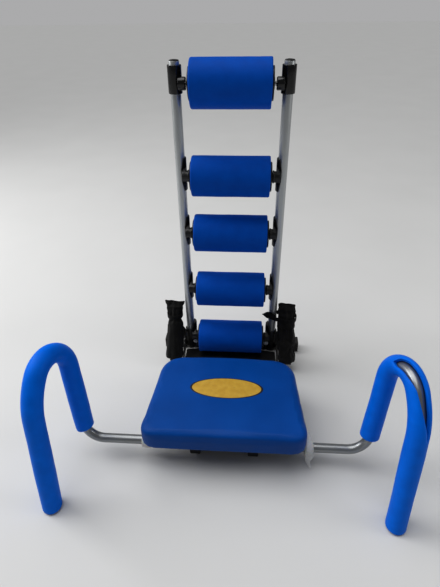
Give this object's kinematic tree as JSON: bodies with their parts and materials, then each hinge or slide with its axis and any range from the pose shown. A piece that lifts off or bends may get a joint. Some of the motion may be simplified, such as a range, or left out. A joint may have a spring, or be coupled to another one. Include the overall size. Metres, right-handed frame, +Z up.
{
  "type": "sit-up bench",
  "caption": "Floor-standing sit-up chair with a cushioned seat, foam-covered grab handles, and a sprung reclining back of foam rollers with a sliding headrest.",
  "frame": {"origin": "middle of the bounding box in plan, on the floor that the rear crossbar caps and the handle feet stand on", "axes": "+Z up, +Y towards the backrest, -Y the way the seated user faces, +X to the right when seen from the seat's front"},
  "size_m": [0.6846, 0.5086, 0.7076],
  "materials": {
    "frame_black": "satin black powder coat",
    "tube_silver": "silver metallic coat, semi-gloss",
    "zinc_hardware": "bright zinc plate",
    "spring_steel": "oiled spring steel",
    "plastic_black": "moulded black plastic, semi-gloss",
    "rubber_black": "moulded black rubber",
    "nylon_pale": "natural nylon",
    "roller_foam": "closed-cell foam with a smooth blue skin",
    "handle_foam": "bright blue closed-cell foam tube",
    "seat_vinyl": "blue vinyl over foam, lightly grained",
    "plywood": "raw plywood",
    "cover_cloth": "black woven cloth"
  },
  "bodies": {
    "base": {"rear_crossbar": "frame_black", "crossbar_cap_left": "rubber_black", "crossbar_cap_right": "rubber_black", "side_rail_left": "frame_black", "side_rail_right": "frame_black", "front_cross_tube": "frame_black", "seat_rear_tube": "frame_black", "hinge_bracket_left": "frame_black", "hinge_bracket_right": "frame_black", "pivot_bolt_left": "zinc_hardware", "pivot_bolt_right": "zinc_hardware", "seat_board": "plywood", "seat_cushion": "seat_vinyl", "handle_tube_left": "tube_silver", "handle_tube_right": "tube_silver", "handle_foam_left": "handle_foam", "handle_foam_right": "handle_foam", "handle_foot_left": "rubber_black", "handle_foot_right": "rubber_black", "tube_collar_left": "nylon_pale", "tube_collar_right": "nylon_pale", "handle_screw_left": "zinc_hardware", "handle_screw_right": "zinc_hardware", "spring_cover_left": "cover_cloth", "spring_cover_right": "cover_cloth", "resistance_spring_left": "spring_steel", "resistance_spring_right": "spring_steel"},
    "back_frame": {"socket_left": "frame_black", "socket_right": "frame_black", "upright_left": "tube_silver", "upright_right": "tube_silver", "top_plug_left": "plastic_black", "top_plug_right": "plastic_black", "cover_strap_left": "cover_cloth", "cover_strap_right": "cover_cloth", "roller_bracket_1_left": "plastic_black", "roller_bracket_1_right": "plastic_black", "roller_bracket_2_left": "plastic_black", "roller_bracket_2_right": "plastic_black", "roller_bracket_3_left": "plastic_black", "roller_bracket_3_right": "plastic_black", "roller_bracket_4_left": "plastic_black", "roller_bracket_4_right": "plastic_black", "roller_axle_1": "zinc_hardware", "roller_axle_2": "zinc_hardware", "roller_axle_3": "zinc_hardware", "roller_axle_4": "zinc_hardware"},
    "roller_1": {"roller_core_1": "plastic_black", "roller_pad_1": "roller_foam"},
    "roller_2": {"roller_core_2": "plastic_black", "roller_pad_2": "roller_foam"},
    "roller_3": {"roller_core_3": "plastic_black", "roller_pad_3": "roller_foam"},
    "roller_4": {"roller_core_4": "plastic_black", "roller_pad_4": "roller_foam"},
    "headrest": {"headrest_sleeve_left": "plastic_black", "headrest_sleeve_right": "plastic_black", "headrest_axle": "zinc_hardware"},
    "head_roller": {"headrest_core": "plastic_black", "headrest_pad": "roller_foam"}
  },
  "joints": [
    {"name": "backrest_recline", "type": "hinge", "parent": "base", "child": "back_frame", "pos_m": [0, 0.20731, 0.04], "axis": [-1, 0, 0], "range_deg": [0, 50], "stiffness_Nm_per_rad": 30, "springref_deg": -11.46, "deforming": ["spring_cover_left", "spring_cover_right", "resistance_spring_left", "resistance_spring_right"]},
    {"name": "roller_1_spin", "type": "hinge", "parent": "back_frame", "child": "roller_1", "pos_m": [0, 0.19331, 0.4935], "axis": [1, 0, 0], "continuous": true},
    {"name": "roller_2_spin", "type": "hinge", "parent": "back_frame", "child": "roller_2", "pos_m": [0, 0.19331, 0.366], "axis": [1, 0, 0], "continuous": true},
    {"name": "roller_3_spin", "type": "hinge", "parent": "back_frame", "child": "roller_3", "pos_m": [0, 0.19331, 0.2195], "axis": [1, 0, 0], "continuous": true},
    {"name": "roller_4_spin", "type": "hinge", "parent": "back_frame", "child": "roller_4", "pos_m": [0, 0.19331, 0.0746], "axis": [1, 0, 0], "continuous": true},
    {"name": "headrest_slide", "type": "slide", "parent": "back_frame", "child": "headrest", "axis": [0, 0, 1], "range_m": [-0.06, 0]},
    {"name": "head_roller_spin", "type": "hinge", "parent": "headrest", "child": "head_roller", "pos_m": [0, 0.19331, 0.6648], "axis": [1, 0, 0], "continuous": true}
  ]
}
